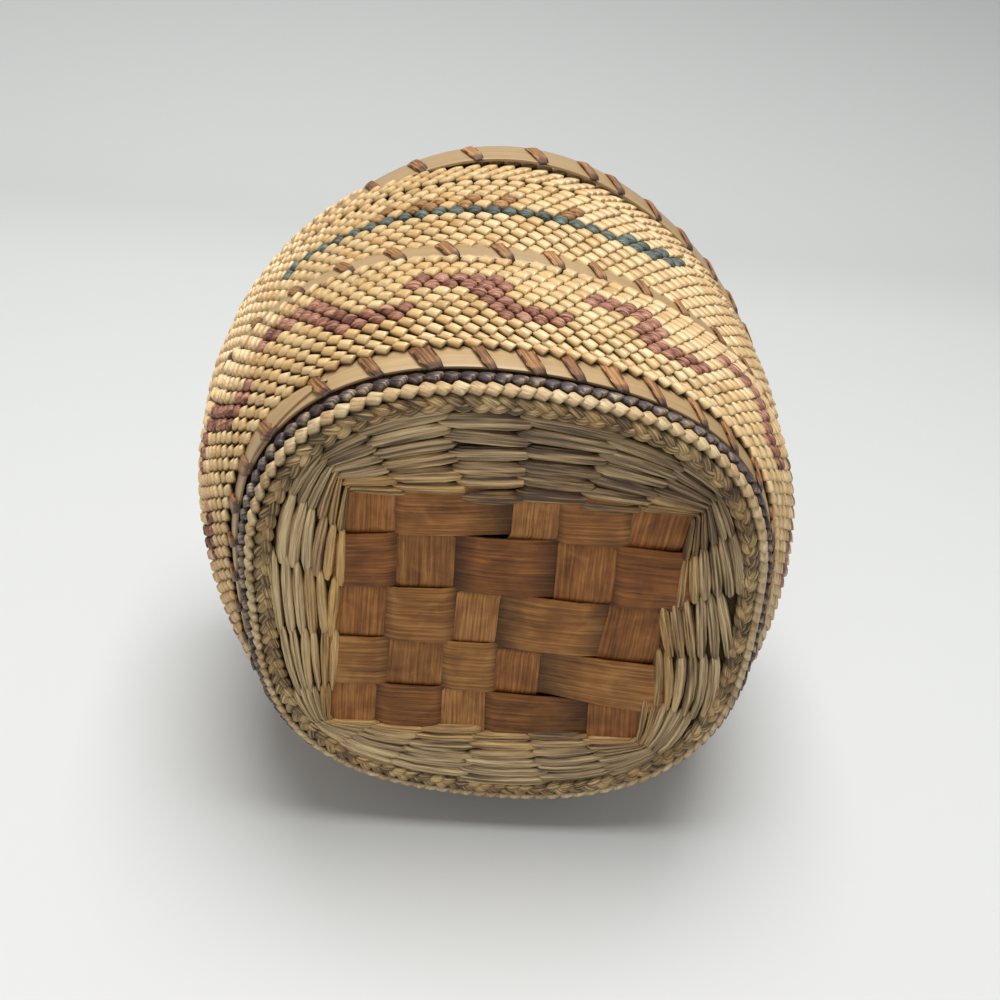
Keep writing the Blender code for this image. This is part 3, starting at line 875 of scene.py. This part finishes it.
lashings("lower", above=0.7, below=1.2, lift=0.26, slant=0.4)
lashings("middle", above=0.7, below=0.7, lift=0.18, slant=0.55)
lashings("lid", above=0.4, below=0.4, lift=0.14, slant=0.4)

# %% [markdown]
# ## The foot
#
# Between the braid and the lower hoop the wall starts with two rows of stitches: a pale one,
# and a dark one whose tops go under the hoop.

# %% The pale row and the dark row
PAD = taken(pillow([
    (-0.52, 0.0, 0.0, 0.2), (-0.48, 0.0, 0.46, 0.75), (-0.28, 0.0, 0.53, 0.97),
    (0.3, 0.0, 0.54, 1.02), (0.49, 0.0, 0.49, 0.92), (0.52, 0.0, 0.0, 0.2),
]))
# The same grass as the wall's, but duller, because it is worn where the basket stands.
pale_grass = fibre_material(
    "undyed_grass", "#86704d", "#b39e76", "#cfbe98", 0.5, 0.3, 0.2, tint="#ecdccf", crease_shade=0.2, streak=0.9,
)
# Grass dyed nearly black, rubbed pale again in streaks.
dark_grass = fibre_material(
    "black_dyed_grass", "#1d1719", "#4a3d3f", "#a8987f", 0.5, 0.28, 0.2, tint="#d8c8c0", crease_shade=0.2, streak=1.0,
)
# The dyed warps behind the foot get hardly any light, and their near-black colour is
# painted shade for the gap under the lower hoop.
painted_shade_warps = bark_material("warps_in_painted_shade", "#0d0a0a", "#171110", "#241b17", 0.9, gloss=0.1)
foot = Turned([(33.5, 0.5), (34.3, 1.3), (35.2, 2.6), (35.9, 4.6)])
pale_up, pale_radius = 1.1, 34.6
dark_up, dark_radius = 2.75, 35.4
place = np.arange(STITCHES) * STITCH_ANGLE
pale = lay(
    "pale_row_stitches", PAD, foot, place + chance.normal(0, 0.04, STITCHES) * STITCH_ANGLE, pale_up,
    pale_radius * STITCH_ANGLE * 0.94, chance.normal(1.72, 0.06, STITCHES), 0.6,
    chance.normal(-0.4, 0.1, STITCHES), lean=-0.45, tip=(0.3, 0.0),
)
finish_piece(pale, pale_grass, "straw", "light_course")
# The tone fade paints shade on each dark stitch's upper left end, where it goes in under the hoop, and light on
# its raised right end.
dark = lay(
    "dark_row_stitches", STITCH, foot, place + 0.5 * STITCH_ANGLE, dark_up,
    dark_radius * STITCH_ANGLE * 0.98, chance.normal(1.75, 0.06, STITCHES), 0.6,
    chance.normal(-0.65, 0.08, STITCHES), lean=-0.3, tip=(0.34, 0.0),
    tone=np.clip(chance.normal(0.35, 0.16, STITCHES), 0.0, 1.0), shade_fade=0.75,
)
finish_piece(dark, dark_grass, "dark_grass", "dark_course")
sheet("foot_backing", "body_wall", foot, painted_shade_warps, "dark_grass", 240, 8, lift=-0.25, thickness=0.5)

# %% [markdown]
# ## The braid and the rim's rope
#
# The base ends in a braid of three strands. Each strand swings in and out once while it
# rises and falls twice, and the three are a third of a turn apart, which is all that a braid
# is. The rope on the rim has two strands that go round each other.

# %% Round strands along a path
SIDES = 8
FIBRE_TWIST = 0.35


def round_strand(name, path, thick, rise):
    """A closed strand along a closed path of points, with its fibres mapped along it."""
    count = len(path)
    ahead = np.roll(path, -1, axis=0) - np.roll(path, 1, axis=0)
    ahead /= np.linalg.norm(ahead, axis=1, keepdims=True)
    side = np.cross(ahead, [0.0, 0.0, 1.0])
    side /= np.linalg.norm(side, axis=1, keepdims=True)
    top = np.cross(side, ahead)
    turns = np.arange(SIDES) * math.tau / SIDES
    ring = np.cos(turns)[None, :, None] * side[:, None, :] + np.sin(turns)[None, :, None] * top[:, None, :]
    points = (path[:, None, :] + 0.5 * thick * ring).reshape(-1, 3)
    faces = []
    for k in range(count):
        after = (k + 1) % count
        for s in range(SIDES):
            t = (s + 1) % SIDES
            faces.append((k * SIDES + s, k * SIDES + t, after * SIDES + t, after * SIDES + s))
    way = np.concatenate([[0.0], np.cumsum(np.linalg.norm(np.diff(path, axis=0), axis=1))])
    u = np.repeat(way, SIDES)
    v = np.tile(turns / math.tau * math.pi * thick, count) + FIBRE_TWIST * u
    marks = {
        "tone": np.repeat(0.5 + 0.2 * np.sin(way * 0.9), SIDES),
        "hue": np.repeat(0.5 + 0.5 * np.sin(way * 0.23), SIDES),
        "rise": np.repeat(rise, SIDES),
    }
    made = mesh_piece(name, points, faces, np.stack([u, v], axis=-1), marks)
    edit_all(made, bpy.ops.mesh.normals_make_consistent, inside=False)
    return made


# %% The braid and the rope
# Whole grass twisted into cords: it keeps its round shape and frays, and painted shade
# darkens it in its folds.
cord_grass = fibre_material(
    "braided_grass", "#3c2b18", "#876e47", "#bba06e", 0.6, 0.28, 0.35, length=14.0, tint="#eadfd0",
    crease_shade=0.15, spread=0.2, streak=1.4,
)


def twined_ring(name, node, strands, turns, steps, radius, height, swing, bob, bobs, thick):
    """Strands that swing round one another along a ring on the basket's plan. swing is how
    far they go in and out, bob how far up and down, and bobs how often for each swing."""
    turn = np.linspace(0, math.tau, turns * steps, endpoint=False)
    for k in range(strands):
        phase = turns * turn + k * math.tau / strands
        out = (radius + swing * np.sin(phase)) * plan_share(turn, height)
        level = height + bob * (np.sin(bobs * phase) if bobs > 1 else np.cos(phase))
        path = np.stack([out * np.cos(turn), out * np.sin(turn) + foot_shift(height), level], axis=-1)
        # Painted shade: a braid strand is darker where it dips under the others, the rope nowhere.
        rise = 0.28 - 0.28 * np.sin(bobs * phase) if bobs > 1 else np.ones_like(turn)
        finish_piece(round_strand(f"{name}_{k + 1}", path, thick, rise), cord_grass, "grey_grass", node)


twined_ring(
    "edge_braid_strand", "base_edge_cord", strands=3, turns=36, steps=16,
    radius=32.75, height=1.05, swing=0.56, bob=0.36, bobs=2, thick=1.36,
)
twined_ring(
    "rim_rope_strand", "rim_cord", strands=2, turns=60, steps=12,
    radius=39.0, height=48.1, swing=0.36, bob=0.36, bobs=1, thick=0.85,
)

# %% [markdown]
# ## The base's plait
#
# Five strips of cedar bark pass over and under five others. They are split by hand, so they
# lean and change in width. Each is written as six places in the photograph, with where its
# two edges are there: a height, left and right for an upright strip, and a place across, top
# and bottom for a crosswise one.

# %% The strips of the base, as the photograph shows them
UPRIGHT = [
    [(481, 348, 397), (531, 346, 395), (583, 338, 388), (632, 336, 384), (681, 331, 377), (718, 330, 375)],
    [(487, 400, 460), (533, 397, 456), (586, 396, 453), (638, 390, 446), (684, 386, 441), (723, 383, 438)],
    [(491, 515, 562), (540, 510, 557), (589, 457, 501), (640, 453, 495), (690, 442, 485), (730, 440, 484)],
    [(497, 563, 626), (543, 558, 620), (603, 553, 611), (646, 497, 541), (690, 493, 537), (735, 488, 532)],
    [(506, 635, 694), (552, 622, 680), (606, 610, 665), (657, 596, 656), (703, 588, 642), (738, 586, 640)],
]
CROSSWISE = [
    [(350, 482, 530), (396, 483, 531), (512, 487, 533), (562, 493, 540), (634, 495, 544), (694, 499, 548)],
    [(340, 533, 582), (397, 532, 583), (456, 535, 588), (557, 541, 596), (620, 545, 604), (677, 552, 608)],
    [(336, 584, 634), (387, 586, 636), (456, 588, 640), (501, 592, 645), (610, 606, 655), (665, 610, 660)],
    [(331, 634, 678), (389, 637, 681), (446, 640, 685), (497, 643, 689), (541, 651, 691), (649, 664, 709)],
    [(330, 680, 718), (376, 682, 723), (442, 686, 727), (485, 690, 731), (585, 700, 736), (641, 706, 739)],
]
UPRIGHT_TONES = [(0.60, 0.6), (0.46, 0.3), (0.62, 0.2), (0.50, 0.6), (0.44, 0.6)]
CROSSWISE_TONES = [(0.46, 0.3), (0.38, 0.7), (0.50, 0.2), (0.56, 0.1), (0.34, 0.5)]
BASE_LEVEL = 1.3
PLAIT_CORNERS = [(347, 484), (697, 512), (637, 738), (328, 718)]

# %% One strip
# Outer cedar bark, split and soaked flat: matt, with long fibres and darker patches.
cedar = fibre_material(
    "cedar_bark_strip", "#4e3015", "#82562a", "#ad7f4a", 0.5, 0.34, 0.1, length=26.0, tint="#e8ccb8",
    gloss=0.2, spread=0.22, patch_mm=3.5, streak=0.7,
)
PLAITS = {"base": (0.3, -1.0), "lid": (0.35, 1.0)}  # thickness, and which way is outwards


def strip(kind, number, near, far, over, tone, hue):
    """A strip between two edges. over is how far it lies outside, from -1 to 1, at each place
    along it, and its edges are given as places in millimetres."""
    thickness, outward = PLAITS[kind.split("_")[0]]
    made, x, y = flat_grid(f"{kind}_strip_{number}", 90, 6)
    along = 0.5 * (x + 1.0)
    side = 0.5 * (y + 1.0)
    run = np.linspace(0.0, 1.0, len(near))
    edge_a, edge_b = (
        np.stack([np.interp(along, run, edge[:, k]) for k in range(3)], axis=-1) for edge in (near, far)
    )
    placed = edge_a + (edge_b - edge_a) * side[:, None]
    lean = np.interp(along, *over)
    tucked = np.clip((np.abs(x) - 0.95) / 0.05, 0.0, 1.0)
    placed[:, 2] += outward * (0.3 * lean + 0.08 * (1.0 - y ** 2) - 0.35 * tucked)
    fibre = np.stack([along * 40.0, side * 7.0 + chance.uniform(0, 90)], axis=-1)
    # Painted shade: a strip is darker where it goes under the strips that cross it.
    rise = 0.45 * np.clip(0.55 + 0.75 * lean, 0.0, 1.0)
    marks = {"tone": np.full_like(x, tone), "hue": np.full_like(x, hue), "rise": rise}
    shape_strip(made, placed, fibre, marks, thickness, 0.06)
    edit_all(made, bpy.ops.mesh.normals_make_consistent, inside=False)
    finish_piece(made, cedar, "cedar_bark", f"{kind}_{number}")


def weave(crossings, outside_first):
    """How far a strip lies outside along its run: level across each crossing strip, which is
    given by where it starts and ends, and changing between them."""
    spots, levels = [], []
    for k, (start, end) in enumerate(crossings):
        value = 1.0 if (k % 2 == 0) == outside_first else -1.0
        spots += [start + 0.1 * (end - start), end - 0.1 * (end - start)]
        levels += [value, value]
    return spots, levels


def edge_seen(first, second, at, axis):
    """Where the plait's edge between two corners is, at a place across (axis 0) or down (1)."""
    ends = np.array([PLAIT_CORNERS[first], PLAIT_CORNERS[second]])
    return np.interp(at, ends[:, axis], ends[:, 1 - axis])


def seen_at(points, place):
    """A strip's two edges at a place, from the points where they were read."""
    spots, low, high = np.array(points, float).T
    return np.interp(place, spots, low), np.interp(place, spots, high)


# %% Plait the base
TUCK = 7.0  # pixels that a strip goes on under the border
STRIP_PLACES = 24
for j, points in enumerate(UPRIGHT):
    top = edge_seen(0, 1, np.mean(points[0][1:]), 0) - TUCK
    bottom = edge_seen(3, 2, np.mean(points[-1][1:]), 0) + TUCK
    down = np.linspace(top, bottom, STRIP_PLACES)
    left, right = seen_at(points, down)
    slope = 0.05 * (right - left)
    near = on_base(left, down - 0.5 * slope, BASE_LEVEL)
    far = on_base(right, down + 0.5 * slope, BASE_LEVEL)
    middles = [np.mean(points[k][1:]) for k in (0, 1, 2, 3, 5)]
    crossings = [(np.array(seen_at(*both)) - top) / (bottom - top) for both in zip(CROSSWISE, middles)]
    strip("base_warp", j + 1, near, far, weave(crossings, j % 2 == 0), *UPRIGHT_TONES[j])
for i, points in enumerate(CROSSWISE):
    level = np.mean([np.mean(point[1:]) for point in points])
    start, end = edge_seen(0, 3, level, 1) - TUCK, edge_seen(1, 2, level, 1) + TUCK
    x = np.linspace(start, end, STRIP_PLACES)
    above, below = seen_at(points, x)
    near = on_base(x, above - 1.0, BASE_LEVEL)
    far = on_base(x, below + 1.0, BASE_LEVEL)
    crossings = [(np.array(seen_at(other, level)) - x[0]) / (x[-1] - x[0]) for other in UPRIGHT]
    strip("base_weft", i + 1, near, far, weave(crossings, i % 2 == 1), *CROSSWISE_TONES[i])

# %% [markdown]
# The lid starts from a plait too, of three strips each way. It is hidden in the photograph,
# so its strips are even, which makes them two loops.

# %% Plait the lid's middle
LID_CROSSINGS = [(0.04, 0.34), (0.35, 0.65), (0.66, 0.96)]
LID_LEVEL = 54.9
LID_STRIP_PITCH = 5.33
LID_STRIP_HALF = 2.45
LID_STRIP_REACH = 8.6
for j in range(3):
    ends = np.linspace(-LID_STRIP_REACH, LID_STRIP_REACH, 12)
    edges = [
        np.stack([np.full(12, (j - 1) * LID_STRIP_PITCH + half), ends, np.full(12, LID_LEVEL)], axis=-1)
        for half in (-LID_STRIP_HALF, LID_STRIP_HALF)
    ]
    for k, kind in enumerate(("lid_warp", "lid_weft")):
        over = weave(LID_CROSSINGS, j % 2 == k)
        strip(kind, j + 1, *edges, over, chance.uniform(0.3, 0.7), chance.uniform(0.0, 1.0))
        edges = [edge[:, [1, 0, 2]] for edge in edges]

# %% [markdown]
# ## The base's twined border
#
# Between the plait and the braid, flat bundles of grey-tan grass are twined round the ends
# of the strips, one bundle across each strip and six rounds deep. At the corners the bundles
# get longer on their way out. They are laid like the wall's stitches, on a surface that runs
# outwards from the square plait to the round braid.

# %% The surface between the plait and the braid
BORDER_LEVEL = 1.25
BORDER_MEAN = 27.0
BORDER_REACH = 31.9
corners = [on_base(x, y, BASE_LEVEL)[:2] for x, y in PLAIT_CORNERS]
print("plait corners, mm:", [[round(float(v), 1) for v in corner] for corner in corners])


def plait_reach(angle):
    """How far the plait's edge is from the middle, at an angle."""
    ahead = np.stack([np.cos(angle), np.sin(angle)], axis=-1)
    reach = np.full(np.shape(angle), 99.0)
    for a, b in zip(corners, corners[1:] + corners[:1]):
        outward = np.array([b[1] - a[1], a[0] - b[0]])
        facing = ahead @ outward
        distance = (a @ outward) / np.where(facing > 1e-6, facing, 1e9)
        reach = np.where(facing > 1e-6, np.minimum(reach, distance), reach)
    return reach


class Border:
    """The band between the square plait and the braid. Its way along runs outwards."""

    length = 9.5

    def radius(self, along):
        return np.full(np.shape(along), BORDER_MEAN)

    def at(self, angle, along):
        share = np.clip(along / self.length, -0.15, 1.15)
        inner = plait_reach(angle) - 0.5
        out = inner + (BORDER_REACH * plan_share(angle, 0.0) - inner) * share
        sideways = out * np.sin(angle) + foot_shift(0.0) * share
        return np.stack([out * np.cos(angle), sideways, np.full(np.shape(out), BORDER_LEVEL)], axis=-1)


border = Border()

# %% The border's bundles
LEAF = taken(pillow([
    (-0.52, 0.0, 0.0, 0.1), (-0.46, 0.0, 0.30, 0.7), (-0.32, 0.0, 0.52, 0.95), (-0.05, 0.0, 0.57, 1.0),
    (0.2, 0.0, 0.56, 1.0), (0.42, 0.0, 0.38, 0.85), (0.52, 0.0, 0.0, 0.1),
]))
# Bundles of thin sedge, gone grey: coarse streaks from blade to blade, and deep gaps.
grey_grass = fibre_material(
    "twined_grass", "#473524", "#957c58", "#c6ae82", 0.6, 0.36, 0.6, length=34.0, tint="#f8e2b8",
    crease_shade=0.2, spread=0.22, streak=1.5,
)
# The strips' ends in the dark behind the bundles, coloured dark brown as painted shade.
border_core = bark_material("border_core", "#241a10", "#352718", "#493824", 0.9, gloss=0.1)
COLUMNS_SEEN = [  # where the bundles meet the plait, once round it
    (347, 484), (400, 487), (465, 492), (520, 497), (580, 502), (640, 507), (697, 512), (686, 556),
    (674, 604), (660, 652), (648, 698), (637, 738), (583, 735), (530, 731), (477, 728), (425, 725),
    (375, 721), (328, 718), (332, 683), (336, 632), (340, 580), (343, 530),
]
ROUNDS = 6
turns = [math.atan2(*on_base(x, y, BASE_LEVEL)[1::-1]) for x, y in COLUMNS_SEEN]
turns = np.unwrap(turns + turns[:1])
places = []
for k, (start, end) in enumerate(zip(turns, turns[1:])):
    for r in range(ROUNDS):
        way = (r + 0.3 + 0.4 * (k % 2)) * border.length / (ROUNDS + 0.1)
        places.append((0.5 * (start + end), way, abs(end - start), r))
angle, along, span, rounds_out = (np.array(column) for column in zip(*places))
count = len(angle)
upright_side = np.exp(-((np.degrees((angle + math.pi) % math.tau - math.pi) / 35.0) ** 2))
# Painted light and shade: bundles on the -x side are made lighter and those on the -y side darker, as the light
# falls on them.
painted_side_light = 0.28 * np.cos(angle) * (np.cos(angle) < 0)
painted_top_shade = 0.2 * (np.sin(angle) < -0.5)
bundles = lay(
    "base_border_bundles", LEAF, border, angle, along + chance.normal(0, 0.06, count),
    BORDER_MEAN * span * chance.normal(1.2, 0.03, count), chance.normal(1.75, 0.1, count), 0.62,
    chance.normal(0.03, 0.03, count) + 0.2 * upright_side, tip=(0.12, -0.1),
    tone=np.clip(chance.normal(0.48, 0.1, count) - painted_side_light - painted_top_shade, 0, 1),
    hue=np.clip(chance.normal(1.0 - rounds_out / 3.0, 0.2), 0, 1),
)
finish_piece(bundles, grey_grass, "grey_grass", "base_border")
sheet("base_border_backing", "base_border", border, border_core, "grey_grass", 240, 10, lift=-0.1, thickness=0.5)

# %% [markdown]
# ## The floor and the light
#
# In the photograph the basket lies on its side on a pale sheet, with its base to the camera.
# Here the basket stays upright, so the sheet is at its side instead, and curves up behind it.
# Its back is see-through, so that it never hides the basket from the other side.

# %% The pale sheet
FLOOR_NORMAL = np.array([0.0, -0.996, 0.091])
FLOOR_ALONG = np.array([0.0, 0.091, 0.996])
FLOOR_POINT = np.array([0.0, 42.9, 24.0])
BEND_START = 250.0
BEND_RADIUS = 90.0
FLOOR_HALF_WIDTH = 900
FLOOR_HALF_LENGTH = 800
FLOOR_FRONT = 0.35  # how far the basket stands from the sheet's middle, as a share of its half
FADE_START = 190
FADE_LENGTH = 310
floor, across, onward = flat_grid("floor", 40, 160)
way = (onward + FLOOR_FRONT) * FLOOR_HALF_LENGTH
turned = np.clip((way - BEND_START) / BEND_RADIUS, 0.0, math.pi / 2)
past = np.clip(way - BEND_START - BEND_RADIUS * math.pi / 2, 0.0, None)
run_out = np.minimum(way, BEND_START) + BEND_RADIUS * np.sin(turned)
rise_up = BEND_RADIUS * (1.0 - np.cos(turned)) + past
sideways = np.outer(across * FLOOR_HALF_WIDTH, [1, 0, 0])
put_points(floor, FLOOR_POINT + sideways + np.outer(run_out, FLOOR_ALONG) + np.outer(rise_up, FLOOR_NORMAL))
floor.data.shade_smooth()
# Painted shade: a share that grows towards the sheet's back, where its colour turns darker.
mark_points(floor.data, {"back": np.clip((way - FADE_START) / FADE_LENGTH, 0.0, 1.0)})

# %% Pale paper
# Matt paper has no shine at all. Towards the back it is coloured darker, painted shade for
# the lamps' light fading there.
paper, tree, shader = new_material("pale_paper_sweep")
back = add(tree, "ShaderNodeAttribute", attribute_name="back").outputs["Fac"]
tone = add(tree, "ShaderNodeMix", {0: back, 6: linear("#babbba"), 7: linear("#999b9b")}, data_type="RGBA")
tree.links.new(tone.outputs[2], shader.inputs["Base Color"])
shader.inputs["Roughness"].default_value = 0.9
clear = add(tree, "ShaderNodeBsdfTransparent").outputs["BSDF"]
facing = add(tree, "ShaderNodeNewGeometry").outputs["Backfacing"]
both = add(tree, "ShaderNodeMixShader", {0: facing, 1: shader.outputs["BSDF"], 2: clear})
tree.links.new(both.outputs["Shader"], tree.nodes["Material Output"].inputs["Surface"])
floor.data.materials.append(paper)

# %% [markdown]
# The light is soft and comes from the side that the photograph has as its top: one large lamp
# far away, a weaker one in front, and an even glow from all round that keeps the shadows open.

# %% The light
WORLD_STRENGTH = 0.40
world = bpy.data.worlds.new("studio")
bpy.context.scene.world = world
world.use_nodes = True
glow = world.node_tree.nodes["Background"]
glow.inputs["Color"].default_value = linear("#f6f6f4")
glow.inputs["Strength"].default_value = WORLD_STRENGTH


def lamp(name, place, target, size, power):
    """A soft square lamp at a place in millimetres, turned to look at another."""
    data = bpy.data.lights.new(name, "AREA")
    data.size = size * MM
    data.energy = power
    made = bpy.data.objects.new(name, data)
    bpy.context.scene.collection.objects.link(made)
    spot = Vector(place) * MM
    made.location = spot
    made.rotation_euler = (Vector(target) * MM - spot).to_track_quat("-Z", "Y").to_euler()


lamp("key", (-15, -600, 60), (0, 0, 20), 380, 5.8)
lamp("front_fill", (-170, -240, -470), (0, 0, 10), 400, 1.1)
bpy.context.scene.view_settings.view_transform = "Standard"
